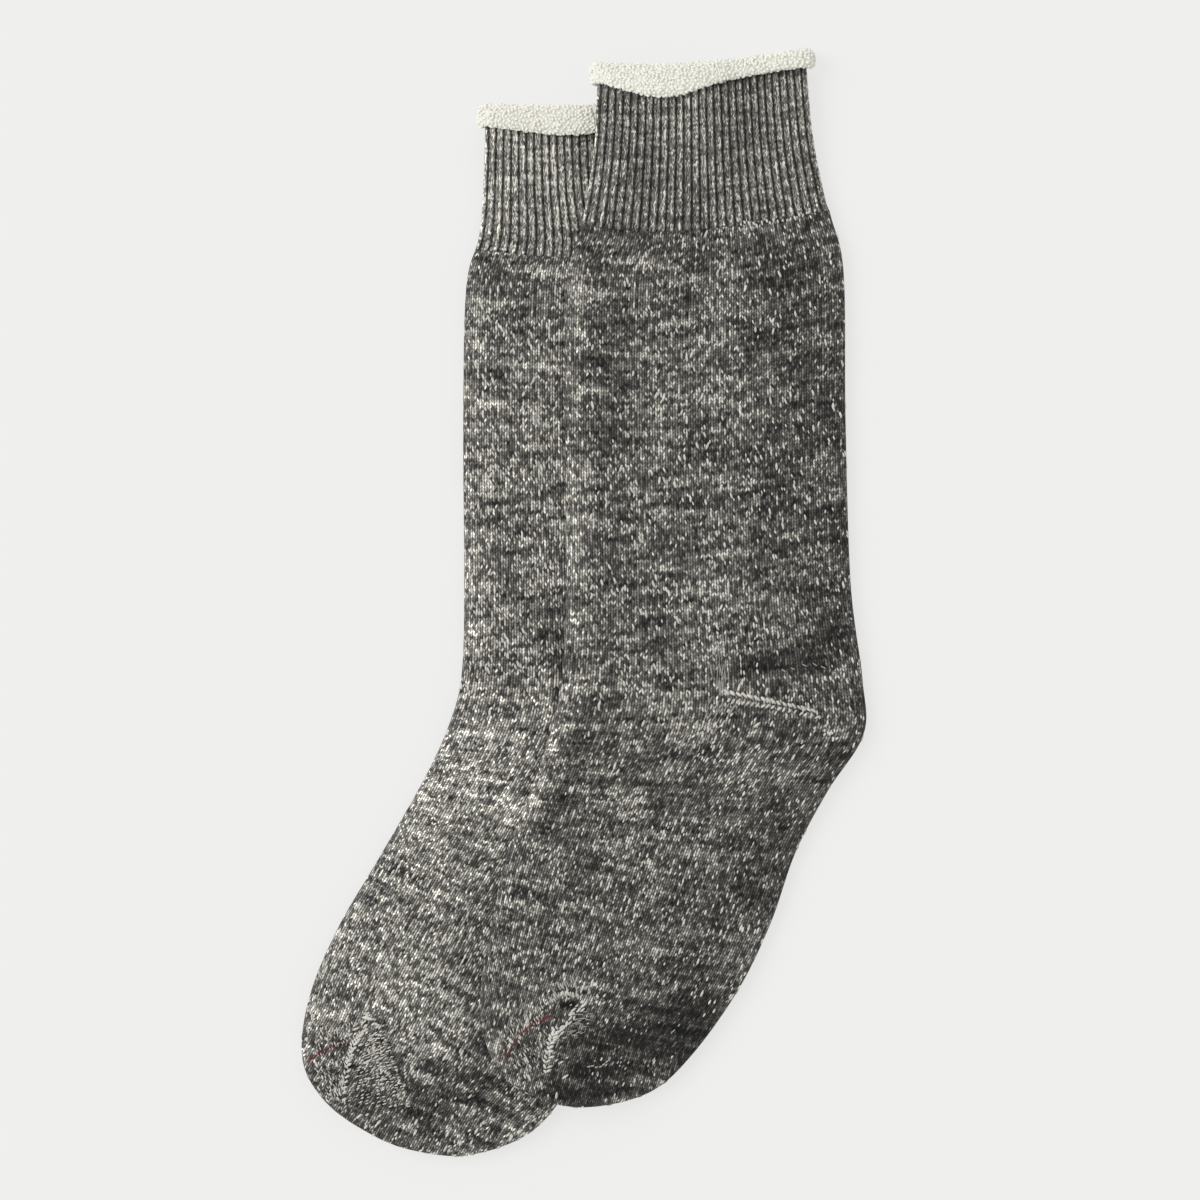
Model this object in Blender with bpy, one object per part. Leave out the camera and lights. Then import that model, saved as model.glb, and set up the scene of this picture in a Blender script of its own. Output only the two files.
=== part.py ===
"""A pair of pile-lined crew socks, laid flat on their sides, one partly over the other.

The frame is +Z up and +Y towards the cuffs, with the origin on the surface under the middle of
the pair. Each sock is one knitted tube, flattened so that its two panels lie on each other:
a rolled edge with its pile outside, a ribbed cuff, and the leg, heel, foot and toe. A row of
the tables below is one section across the sock, from the fold along the instep to the fold
along the heel and sole. All sizes are in millimetres until a mesh is made.
"""

import math
from collections import namedtuple

import bpy
import numpy as np

MM = 0.001

# The cloth
LEG_WALL = 3.4  # plain knit with the pile behind it
RIB_WALL = 2.2  # at the bottom of the grooves
RIB_COUNT = 57  # ribs round a cuff
RIB_RELIEF = 0.8  # from the groove to the top of a rib
EDGE_ROUND = 9.0  # how far from a fold a panel reaches its full height
SEAM_GAP = 0.3
LAY_GAP = 0.4  # from the lower sock to the upper one that lies over it

# The rolled edge, measured from the middle of the rib's wall at its end
ROLL_WALL = 2.0
ROLL_STANDS = 4.6  # out from the cuff
ROLL_ABOVE = 4.2  # from the rib's end to the top of the roll
MOUTH_RISE = 3.1  # the roll under the lower panel holds the mouth this far off the surface
FALL_START = 0.36  # row where the cuff starts to come down from there
FALL_END = 1.7  # row where it is down

# The mesh
LEG_AROUND = 48  # outer points; the inside has half as many
ROLL_AROUND = 60
DENSE = 240  # points that a section's shape is first drawn with
MAP_CELL = 2.0
MAP_SPREAD = 7  # cells that the upper sock bridges beside the lower one
MAP_SOFT = 6  # cells over which that bridge is rounded off

Row = namedtuple("Row", "place instep_x instep_y sole_x sole_y thick sag")
UPPER_ROWS = (
    Row("mouth", 5.6, 211.8, 89.4, 217.6, 6.8, 3.0),
    Row("rib middle", 4.0, 182.6, 92.4, 186.6, 7.0, 3.4),
    Row("rib end", -0.8, 151.6, 98.4, 157.4, 7.4, 5.2),
    Row("calf", -6.8, 129.6, 104.0, 132.8, 8.2, 5.0),
    Row("mid leg", -7.6, 73.6, 104.8, 73.6, 8.2, 2.5),
    Row("lower leg", -7.2, 5.6, 106.8, 8.8, 8.0, 1.5),
    Row("ankle", -8.8, -29.6, 111.6, -30.4, 8.4, 0.5),
    Row("heel", -12.4, -47.2, 112.0, -52.4, 9.0, 0.0),
    Row("heel turn", -17.2, -63.2, 97.6, -75.2, 8.8, 0.0),
    Row("arch", -24.0, -81.6, 84.8, -99.6, 8.2, 0.0),
    Row("mid foot", -31.6, -103.2, 74.8, -128.0, 8.2, 0.5),
    Row("ball", -36.8, -127.2, 61.8, -154.8, 8.6, 1.0),
    Row("toe start", -41.2, -153.6, 43.4, -180.6, 9.4, 1.0),
    Row("toe shoulder", -40.4, -170.4, 27.0, -195.4, 9.8, 0.5),
    Row("toe corner", -32.4, -188.4, 5.6, -201.0, 9.6, 0.0),
    Row("toe tip", -13.6, -199.0, -13.6, -199.0, 9.0, 0.0),
)
LOWER_ROWS = (
    Row("mouth", -39.4, 195.4, 45.6, 196.2, 6.8, 1.0),
    Row("rib middle", -40.2, 168.8, 49.6, 170.4, 7.0, 3.4),
    Row("rib end", -42.0, 147.4, 58.8, 148.6, 7.4, 4.0),
    Row("calf", -47.2, 126.4, 63.2, 125.6, 8.2, 2.0),
    Row("mid leg", -48.4, 73.6, 64.0, 72.0, 8.2, 1.5),
    Row("lower leg", -48.0, 1.6, 66.0, 1.6, 8.0, 1.0),
    Row("ankle", -49.2, -29.6, 70.4, -34.4, 8.4, 0.5),
    Row("heel", -53.6, -47.2, 69.2, -58.4, 9.0, 0.0),
    Row("heel turn", -61.6, -65.6, 52.0, -85.6, 8.8, 0.0),
    Row("arch", -72.4, -85.2, 30.4, -123.2, 8.2, 0.0),
    Row("mid foot", -84.8, -106.4, 11.2, -158.4, 8.2, 0.5),
    Row("ball", -98.8, -130.4, -1.6, -186.4, 8.6, 1.0),
    Row("toe start", -110.0, -157.6, -19.8, -210.6, 9.4, 1.0),
    Row("toe shoulder", -112.8, -182.4, -45.6, -220.8, 9.8, 0.5),
    Row("toe corner", -103.6, -199.6, -69.6, -218.8, 9.6, 0.0),
    Row("toe tip", -87.2, -211.6, -87.2, -211.6, 9.0, 0.0),
)
RIB_END = 2.0  # the row where the ribs stop

Roll = namedtuple("Roll", "least most widest swell")  # how far it hangs back over the cuff
UPPER_ROLL = Roll(2.9, 9.2, -0.40, 0.50)  # widest: from -1 at the instep to 1 at the heel side
LOWER_ROLL = Roll(4.2, 7.4, -0.25, 0.50)  # swell: the half width of the wide part, likewise

Stretch = namedtuple("Stretch", "place to_row rings closing")
STRETCHES = (
    Stretch("leg", 5.0, 6, 1.0),
    Stretch("heel", 9.0, 11, 1.0),
    Stretch("foot", 12.0, 5, 1.0),
    Stretch("toe", 15.0, 9, 2.0),
)

Crease = namedtuple("Crease", "place from_x from_y to_x to_y depth reach")  # a ridge is under 0
UPPER_CREASES = (
    Crease("under the cuff", 26.0, 154.0, 12.0, 140.0, 1.1, 7.0),
    Crease("down the calf", 66.0, 136.0, 90.0, 112.0, 1.0, 9.0),
    Crease("above the heel", 68.0, -25.0, 100.0, -19.0, 1.3, 6.0),
    Crease("heel pocket's edge", 74.0, -32.0, 104.0, -26.0, -0.7, 6.0),
    Crease("across the instep", -12.0, -78.0, 8.0, -90.0, 1.0, 7.0),
    Crease("down the foot", 26.0, -126.0, 50.0, -150.0, 0.9, 9.0),
    Crease("toe dimple", -10.0, -158.0, -4.0, -160.0, 1.8, 5.0),
    Crease("toe seam's ridge", -34.0, -176.0, -16.0, -160.0, -1.0, 5.0),
    Crease("under the toe gore", -12.0, -190.0, 10.0, -168.0, 1.0, 7.0),
)
LOWER_CREASES = (
    Crease("at the ankle", -46.0, -26.0, -22.0, -34.0, 0.9, 7.0),
    Crease("across the foot", -76.0, -104.0, -60.0, -122.0, 1.0, 8.0),
    Crease("toe gore", -92.0, -168.0, -96.0, -198.0, 1.0, 5.0),
    Crease("beside the toe gore", -82.0, -170.0, -80.0, -200.0, -0.8, 6.0),
)

COLOURS = {
    "marl": (0.150, 0.145, 0.135, 1.0),
    "rib": (0.165, 0.160, 0.150, 1.0),
    "pile": (0.760, 0.750, 0.680, 1.0),
}


def smooth(points, at):
    """The points of a smooth curve through the given ones, at fractional places in their list."""
    points = np.asarray(points, float)
    padded = np.vstack([2 * points[0] - points[1], points, 2 * points[-1] - points[-2]])
    at = np.clip(np.asarray(at, float), 0, len(points) - 1)
    first = np.minimum(at.astype(int), len(points) - 2)
    t = (at - first)[..., None]
    a, b, c, d = (padded[first + step] for step in range(4))
    return b + t * ((c - a) + t * ((2 * a - 5 * b + 4 * c - d) + t * (3 * (b - c) + d - a))) / 2


def rounded(distance):
    """The share of its height that cloth has at a distance from where it folds over."""
    near = np.clip(np.asarray(distance) / EDGE_ROUND, 0, 1)
    return np.sqrt(1 - (1 - near) ** 2)


def panel_section(width, thick):
    """A flat tube's section as dense points (across, up), from the heel side over the top."""
    turn = np.linspace(0, 2 * math.pi, DENSE, endpoint=False)
    across = np.cos(turn) * width / 2
    half = thick / 2 * rounded((width / 2 - abs(across)) * max(1, 2 * EDGE_ROUND / width))
    return np.stack([across, thick / 2 + np.where(turn <= math.pi, half, -half)], axis=1)


def spaced(loop, count):
    """The closed loop again with count even points."""
    closed = np.vstack([loop, loop[:1]])
    along = np.concatenate([[0], np.cumsum(np.linalg.norm(np.diff(closed, axis=0), axis=1))])
    at = np.linspace(0, along[-1], count, endpoint=False)
    return np.stack([np.interp(at, along, closed[:, k]) for k in range(2)], axis=1)


def outward(loop):
    """The outward direction at each point of a closed loop."""
    step = np.roll(loop, -1, axis=0) - np.roll(loop, 1, axis=0)
    across = np.stack([step[:, 1], -step[:, 0]], axis=1)
    return across / np.linalg.norm(across, axis=1)[:, None]


def crease_depth(creases, x, y):
    """How far the top panel is pressed down at points of the plan."""
    total = np.zeros(len(x))
    for crease in creases:
        start = np.array([crease.from_x, crease.from_y])
        run = np.array([crease.to_x, crease.to_y]) - start
        t = np.clip(((x - start[0]) * run[0] + (y - start[1]) * run[1]) / (run @ run), 0, 1)
        away = np.hypot(x - start[0] - t * run[0], y - start[1] - t * run[1])
        total += crease.depth * np.exp(-((away / crease.reach) ** 2))
    return total


def roll_section(hang):
    """The turned-over edge as a loop (out from the cuff, beyond its end), from inside the mouth."""
    half = RIB_WALL / 2
    middle = (ROLL_STANDS - half) / 2
    outer_radius = (ROLL_STANDS + half) / 2
    inner_radius = outer_radius - ROLL_WALL
    shoulder = ROLL_ABOVE - outer_radius
    bulge = 0.06 * hang
    loop = [(-half, SEAM_GAP)]
    for degrees in (180, 135, 90, 45, 0):
        a = math.radians(degrees)
        loop.append((middle + outer_radius * math.cos(a), shoulder + outer_radius * math.sin(a)))
    loop.append((ROLL_STANDS + bulge, -hang * 0.45))
    loop.append((ROLL_STANDS - 0.4, 0.9 - hang))
    loop.append((ROLL_STANDS - ROLL_WALL / 2, -hang))
    loop.append((ROLL_STANDS - ROLL_WALL, 0.9 - hang))
    loop.append((ROLL_STANDS - ROLL_WALL + bulge, -hang * 0.45))
    for degrees in (0, 90, 180):
        a = math.radians(degrees)
        loop.append((middle + inner_radius * math.cos(a), shoulder + inner_radius * math.sin(a)))
    loop.append((half, SEAM_GAP))
    return np.array(loop)


class Sock:
    """The lay of one sock: its rows, its roll, its creases and what it lies on."""

    def __init__(self, rows, roll, creases, ground):
        self.rows = rows
        self.roll = roll
        self.creases = creases
        self.ground = ground
        self.tip = len(rows) - 1
        self.row_grid = np.linspace(0, self.tip, 40 * self.tip + 1)
        instep, sole = self.folds(self.row_grid)
        steps = np.linalg.norm(np.diff((instep + sole) / 2, axis=0), axis=1)
        self.lengths = np.concatenate([[0], np.cumsum(steps)])

    def folds(self, at):
        """The instep fold and the sole fold at a row, on one outline that runs round the tip."""
        instep = [(row.instep_x, row.instep_y) for row in self.rows]
        sole = [(row.sole_x, row.sole_y) for row in self.rows[:-1]]
        outline = instep + sole[::-1]
        return smooth(outline, at), smooth(outline, 2 * self.tip - at)

    def beyond(self, at, distance):
        """The row that lies a distance further along the sock."""
        length = np.interp(at, self.row_grid, self.lengths)
        return float(np.interp(length + distance, self.lengths, self.row_grid))

    def lay(self, at, section, lift, cuffward=0.0):
        """Section points (across, up) at a row as x, y, z, over what the sock lies on."""
        instep, sole = self.folds(at)
        width = max(float(np.linalg.norm(sole - instep)), 0.01)
        direction = (sole - instep) / width
        sag = smooth([(row.sag,) for row in self.rows], at)[0]
        share = np.clip(2 * section[:, 0] / width, -1, 1)
        bow = sag * (1 - share**2) * (1 - 0.45 * share) - cuffward
        toe_ward = np.array([direction[1], -direction[0]])
        plan = (instep + sole) / 2 + section[:, :1] * direction + bow[:, None] * toe_ward
        down = np.clip((at - FALL_START) / (FALL_END - FALL_START), 0, 1)
        rise = MOUTH_RISE * (1 - down) ** 2 * (1 + 2 * down)
        up = np.maximum(section[:, 1] + lift + rise, 0) + self.ground(plan[:, 0], plan[:, 1])
        return np.column_stack([plan, up])

    def size(self, at):
        """The width and thickness of the flat sock at a row."""
        instep, sole = self.folds(at)
        thick = smooth([(row.thick,) for row in self.rows], at)[0]
        return float(np.linalg.norm(sole - instep)), float(thick)

    def leg_ring(self, at, inset, count):
        """One ring of the plain tube, moved in from its outside by inset."""
        width, full = self.size(at)
        to_tip = self.lengths[-1] - np.interp(at, self.row_grid, self.lengths)
        thick = full * float(rounded(to_tip - inset + 0.3)) - 2 * inset
        if inset:
            thick = max(thick, 0.5)
        section = spaced(panel_section(max(width - 2 * inset, 0.8), thick), count)
        ring = self.lay(at, section, (full - thick) / 2)
        pressed = np.minimum(crease_depth(self.creases, ring[:, 0], ring[:, 1]), full - 2 * LEG_WALL - 0.6)
        ring[:, 2] -= pressed * np.clip(2 * section[:, 1] / thick - 1, 0, 1)
        return ring

    def rib_ring(self, at, inset, count):
        """One ring of the cuff: ribs on the outside, plain on the inside."""
        width, thick = self.size(at)
        margin = RIB_RELIEF + inset
        section = spaced(panel_section(width - 2 * margin, thick - 2 * margin), count)
        if inset == 0:
            section = section + outward(section) * RIB_RELIEF * (np.arange(count) % 2)[:, None]
        return self.lay(at, section, margin)

    def roll_rings(self, count):
        """The sections of the rolled edge, one after the other round the mouth."""
        width, thick = self.size(0)
        margin = RIB_RELIEF + RIB_WALL / 2
        dense = panel_section(width - 2 * margin, thick - 2 * margin)
        step = DENSE // count
        rings = []
        for point, out in zip(dense[::step], outward(dense)[::step]):
            off_widest = (2 * point[0] / width - self.roll.widest) / self.roll.swell
            hang = self.roll.least + (self.roll.most - self.roll.least) * math.exp(-(off_widest**2))
            loop = roll_section(hang)
            rings.append(self.lay(0, point + loop[:, :1] * out, margin, loop[:, 1]))
        return rings


def mesh_object(name, points, faces, colour):
    """A mesh object in metres with its own material."""
    mesh = bpy.data.meshes.new(name)
    mesh.from_pydata([tuple(point) for point in np.asarray(points) * MM], [], faces)
    mesh.shade_smooth()
    material = bpy.data.materials.new(name)
    material.use_nodes = True
    shader = material.node_tree.nodes["Principled BSDF"]
    shader.inputs["Base Color"].default_value = COLOURS[colour]
    shader.inputs["Roughness"].default_value = 0.95
    shader.inputs["Metallic"].default_value = 0.0
    mesh.materials.append(material)
    bpy.data.collections["socks"].objects.link(bpy.data.objects.new(name, mesh))


def band(first, second, count):
    """Quads from a ring to the next, facing out; the rings are given by their first points."""
    faces = []
    for i in range(count):
        after = (i + 1) % count
        faces.append((first + i, first + after, second + after, second + i))
    return faces


def rim(outer, inner, count):
    """Faces from an outer ring to an inner one with half as many points, facing the toe."""
    faces = []
    for i in range(0, count, 2):
        here, after = inner + i // 2, inner + (i // 2 + 1) % (count // 2)
        faces.append((outer + i, outer + i + 1, here))
        faces.append((outer + i + 1, outer + (i + 2) % count, after, here))
    return faces


def flipped(faces):
    """The same faces, facing the other way."""
    return [face[::-1] for face in faces]


def wall(name, outer, inner, tips, colour):
    """A solid wall between outer and inner rings, ending in a rim or closed at two tips."""
    count = len(outer[0])
    inside = len(outer) * count
    last_outer = inside - count
    last_inner = inside + (len(inner) - 1) * count // 2
    faces = flipped(rim(0, inside, count))
    for k in range(len(outer) - 1):
        faces += band(k * count, (k + 1) * count, count)
    for k in range(len(inner) - 1):
        start = inside + k * count // 2
        faces += flipped(band(start, start + count // 2, count // 2))
    if tips:
        tip = last_inner + count // 2
        faces += [(last_outer + i, last_outer + (i + 1) % count, tip) for i in range(count)]
        for i in range(count // 2):
            faces.append((last_inner + (i + 1) % (count // 2), last_inner + i, tip + 1))
    else:
        faces += rim(last_outer, last_inner, count)
    mesh_object(name, np.vstack(outer + inner + tips), faces, colour)


def leg_and_foot(name, sock):
    """The plain knitted tube from the ribs' end to the closed toe."""
    rows = []
    start = sock.beyond(RIB_END, SEAM_GAP / 2)
    for stretch in STRETCHES:
        left = (1 - np.arange(stretch.rings) / stretch.rings) ** stretch.closing
        rows += list(stretch.to_row - (stretch.to_row - start) * left)
        start = stretch.to_row
    outer = [sock.leg_ring(at, 0, LEG_AROUND) for at in rows]
    inner_rows = [at for at in rows if sock.beyond(at, LEG_WALL + 1.5) < sock.tip - 0.01]
    inner = [sock.leg_ring(at, LEG_WALL, LEG_AROUND // 2) for at in inner_rows]
    end = inner[-1].mean(axis=0) + 0.3 * (inner[-1].mean(axis=0) - inner[-2].mean(axis=0))
    tips = [sock.leg_ring(sock.tip, 0, 8).mean(axis=0)[None], end[None]]
    wall(name, outer, inner, tips, "marl")


def rib_cuff(name, sock, bands):
    """The ribbed band, its ribs raised on the outside."""
    rows = np.linspace(0, sock.beyond(RIB_END, -SEAM_GAP / 2), bands + 1)
    outer = [sock.rib_ring(at, 0, 2 * RIB_COUNT) for at in rows]
    inner = [sock.rib_ring(at, RIB_WALL, RIB_COUNT) for at in rows]
    wall(name, outer, inner, [], "rib")


def rolled_edge(name, sock):
    """The edge that rolls outwards all round the mouth, its pile outside."""
    rings = sock.roll_rings(ROLL_AROUND)
    count = len(rings[0])
    faces = []
    for k in range(ROLL_AROUND):
        faces += flipped(band(k * count, (k + 1) % ROLL_AROUND * count, count))
    mesh_object(name, np.vstack(rings), faces, "pile")


def disc(reach):
    """The cell offsets within a radius."""
    span = range(-reach, reach + 1)
    return [(i, j) for i in span for j in span if i * i + j * j <= reach * reach]


def lie_over(sock):
    """The height of cloth that lies over a sock, as a function of the plan.

    The sock's highest points go on a grid, which is spread and then softened.
    """
    rings = [sock.leg_ring(at, 0, 2 * DENSE) for at in np.linspace(RIB_END, sock.tip, 360)]
    rings += [sock.rib_ring(at, 0, 2 * DENSE) for at in np.linspace(0, RIB_END, 60)]
    rings += sock.roll_rings(DENSE)
    points = np.vstack(rings)
    margin = (MAP_SPREAD + MAP_SOFT + 2) * MAP_CELL
    low = points[:, :2].min(axis=0) - margin
    cells = ((points[:, :2] - low) / MAP_CELL).round().astype(int)
    grid = np.zeros(cells.max(axis=0) + MAP_SPREAD + MAP_SOFT + 3)
    np.maximum.at(grid, (cells[:, 0], cells[:, 1]), points[:, 2])
    spread = np.max([np.roll(grid, shift, axis=(0, 1)) for shift in disc(MAP_SPREAD)], axis=0)
    soft = np.mean([np.roll(spread, shift, axis=(0, 1)) for shift in disc(MAP_SOFT)], axis=0)

    def height(x, y):
        across = np.clip((x - low[0]) / MAP_CELL, 0, soft.shape[0] - 1.001)
        along = np.clip((y - low[1]) / MAP_CELL, 0, soft.shape[1] - 1.001)
        i, j = across.astype(int), along.astype(int)
        s, t = across - i, along - j
        near = (1 - t) * soft[i, j] + t * soft[i, j + 1]
        far = (1 - t) * soft[i + 1, j] + t * soft[i + 1, j + 1]
        level = (1 - s) * near + s * far
        return level + LAY_GAP * np.clip(level, 0, 1)

    return height


def flat_ground(x, y):
    """The surface that the pair lies on."""
    return np.zeros(len(x))


def main():
    """Clears the scene and builds both socks."""
    for obj in list(bpy.data.objects):
        bpy.data.objects.remove(obj, do_unlink=True)
    bpy.context.scene.collection.children.link(bpy.data.collections.new("socks"))
    lower = Sock(LOWER_ROWS, LOWER_ROLL, LOWER_CREASES, flat_ground)
    upper = Sock(UPPER_ROWS, UPPER_ROLL, UPPER_CREASES, lie_over(lower))
    for name, sock, bands in (("lower_sock", lower, 4), ("upper_sock", upper, 9)):
        leg_and_foot(name + "_leg_foot", sock)
        rib_cuff(name + "_rib_cuff", sock, bands)
        rolled_edge(name + "_rolled_edge", sock)


main()
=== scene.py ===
"""The looks of a pair of pile-lined crew socks, laid flat with one partly over the other.

The cloth is drawn again on the form of its solids, much finer: marled plain knit with cream
flecks, ribs, looped pile on the rolled edges, gore stitches and the linking thread. All sizes
are in millimetres until a mesh is made.
"""

import math
from collections import namedtuple
from dataclasses import dataclass

import bmesh
import bpy
import numpy as np
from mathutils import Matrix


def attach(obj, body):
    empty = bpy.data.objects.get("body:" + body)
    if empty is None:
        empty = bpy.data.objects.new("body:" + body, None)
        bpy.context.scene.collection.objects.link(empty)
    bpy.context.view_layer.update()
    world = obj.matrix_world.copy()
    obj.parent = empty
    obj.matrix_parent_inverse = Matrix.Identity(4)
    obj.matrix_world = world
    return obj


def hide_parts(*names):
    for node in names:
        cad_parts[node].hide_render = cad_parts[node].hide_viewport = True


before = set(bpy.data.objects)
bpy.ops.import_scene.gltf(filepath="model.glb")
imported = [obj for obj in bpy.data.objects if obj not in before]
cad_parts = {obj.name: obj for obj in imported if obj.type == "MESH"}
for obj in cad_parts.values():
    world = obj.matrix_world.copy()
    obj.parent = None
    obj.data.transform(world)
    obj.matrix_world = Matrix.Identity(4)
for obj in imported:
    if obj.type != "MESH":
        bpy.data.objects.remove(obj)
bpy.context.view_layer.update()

MM = 0.001

# The cloth, as the solids have it
LEG_WALL = 3.4
RIB_WALL = 2.2
RIB_COUNT = 57
RIB_RELIEF = 0.8
RIB_FADE = 4.0
EDGE_ROUND = 9.0
SEAM_GAP = 0.3
LAY_GAP = 0.4
ROLL_WALL = 2.0
ROLL_STANDS = 4.6
ROLL_ABOVE = 4.2
MOUTH_RISE = 3.1
FALL_START = 0.36
FALL_END = 1.7
DENSE = 480
ROLL_SHOWS = 23  # the first points of a roll's section, on which pile shows
MAP_CELL = 2.0
MAP_SPREAD = 7
MAP_SOFT = 6

# The knit
WALES = 2 * RIB_COUNT
COURSE = 1.32
SPIRAL = 0.1
FLECK_ROWS = 1.6
FLECK_DENSITY = 0.16
FLECK_SIZES = ((0.78, 1.75), (0.33, 0.60), (0.29, 0.42))  # half sizes along, across and out
STITCH_HALF = 0.36  # half of what a placed stitch measures outwards
PILE_PITCH = 1.3
PILE_SIZES = ((0.75, 1.25), (0.6, 0.85), (0.5, 0.8))

# The meshes
TOP_COLUMNS = 144
UNDER_COLUMNS = 48
LEG_RINGS = 302
RIB_RINGS = 52
ROLL_RINGS = 240
JOIN = 0.03  # how far the leg's knit and the rib's stay from where they meet

# The picture
CAMERA_AT = (0.0064, 0.0014, 2.2744)
LENS = 170
SENSOR = 36
FLOOR = ((-3, -3, -0.0002), (3, -3, -0.0002), (3, 3, -0.0002), (-3, 3, -0.0002))
FLOOR_GLOW = (0.69, 0.69, 0.68, 1.0)
FLOOR_COLOUR = (0.17, 0.17, 0.168, 1.0)
SKY_STRENGTH = 0.70
SUN_STRENGTH = 1.45
SUN_WIDTH = 40
SUN_TILT = (0, -46, -20)

# The rows along a sock: its thickness, then each sock's instep and sole x, y and how it sags
LAY = (
    ("mouth", 6.8, (5.6, 211.8, 89.4, 217.6, 3), (-39.4, 195.4, 45.6, 196.2, 1)),
    ("rib middle", 7, (4, 182.6, 92.4, 186.6, 3.4), (-40.2, 168.8, 49.6, 170.4, 3.4)),
    ("rib end", 7.4, (-0.8, 151.6, 98.4, 157.4, 5.2), (-42, 147.4, 58.8, 148.6, 4)),
    ("calf", 8.2, (-6.8, 129.6, 104, 132.8, 5), (-47.2, 126.4, 63.2, 125.6, 2)),
    ("mid leg", 8.2, (-7.6, 73.6, 104.8, 73.6, 2.5), (-48.4, 73.6, 64, 72, 1.5)),
    ("lower leg", 8, (-7.2, 5.6, 106.8, 8.8, 1.5), (-48, 1.6, 66, 1.6, 1)),
    ("ankle", 8.4, (-8.8, -29.6, 111.6, -30.4, 0.5), (-49.2, -29.6, 70.4, -34.4, 0.5)),
    ("heel", 9, (-12.4, -47.2, 112, -52.4, 0), (-53.6, -47.2, 69.2, -58.4, 0)),
    ("heel turn", 8.8, (-17.2, -63.2, 97.6, -75.2, 0), (-61.6, -65.6, 52, -85.6, 0)),
    ("arch", 8.2, (-24, -81.6, 84.8, -99.6, 0), (-72.4, -85.2, 30.4, -123.2, 0)),
    ("mid foot", 8.2, (-31.6, -103.2, 74.8, -128, 0.5), (-84.8, -106.4, 11.2, -158.4, 0.5)),
    ("ball", 8.6, (-36.8, -127.2, 61.8, -154.8, 1), (-98.8, -130.4, -1.6, -186.4, 1)),
    ("toe start", 9.4, (-41.2, -153.6, 43.4, -180.6, 1), (-110, -157.6, -19.8, -210.6, 1)),
    ("toe shoulder", 9.8, (-40.4, -170.4, 27, -195.4, 0.5), (-112.8, -182.4, -45.6, -220.8, 0.5)),
    ("toe corner", 9.6, (-32.4, -188.4, 5.6, -201, 0), (-103.6, -199.6, -69.6, -218.8, 0)),
    ("toe tip", 9, (-13.6, -199, -13.6, -199, 0), (-87.2, -211.6, -87.2, -211.6, 0)),
)
# Columns: instep x and y, sole x and y, sag, thickness
UPPER_ROWS = np.array([(*upper, thick) for place, thick, upper, lower in LAY])
LOWER_ROWS = np.array([(*lower, thick) for place, thick, upper, lower in LAY])
RIB_END = 2  # the row where the solid's ribs stop
HEEL_ROW = 6
TOE_ROW = 12

Roll = namedtuple("Roll", "least most widest swell")  # how far it hangs back over the cuff
UPPER_ROLL = Roll(2.9, 9.2, -0.40, 0.50)  # widest: from -1 at the instep to 1 at the heel side
LOWER_ROLL = Roll(4.2, 7.4, -0.25, 0.50)  # swell: the half width of the wide part, likewise

# Creases: place, x0, y0, x1, y1, x2, y2, depth (under 0 for a ridge) and reach
UPPER_CREASES = (
    ("under the cuff", 24, 156, 18, 147, 12, 138, 1.1, 5.5),
    ("down the calf", 66, 138, 78, 124, 90, 112, 1, 8),
    ("at the calf's edge", 98, 60, 95, 44, 98, 30, 0.5, 5),
    ("above the heel", 66, -26, 84, -20, 102, -17, 1.3, 4.5),
    ("heel pocket's edge", 70, -33, 88, -27, 104, -27, -0.8, 4),
    ("across the instep", -12, -78, -2, -84, 10, -88, 1, 6),
    ("by the instep", -20, -104, -24, -114, -27, -124, 0.6, 5),
    ("down the foot", 26, -126, 38, -138, 50, -150, 0.9, 8),
    ("toe dimple", -9.5, -157.6, -6.8, -158.4, -4, -158.8, 2.2, 2.6),
    ("above the toe seam", -26, -157, -18, -153.5, -11, -151, 0.7, 3),
    ("toe seam's ridge", -34, -176, -26, -168, -16, -159, -1, 4.5),
    ("beside the toe gore", -12, -190, -4, -178, 10, -168, 1, 6),
)
LOWER_CREASES = (
    ("at the ankle", -46, -26, -34, -31, -22, -34, 0.9, 6),
    ("across the foot", -76, -104, -68, -112, -60, -122, 1, 7),
    ("toe gore", -92, -168, -95, -182, -96, -198, 1, 4.5),
    ("beside the toe gore", -82, -170, -80, -184, -80, -200, -0.8, 5),
    ("fold down the toe", -75, -158, -62, -170, -50, -186, -0.6, 3),
)

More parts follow.
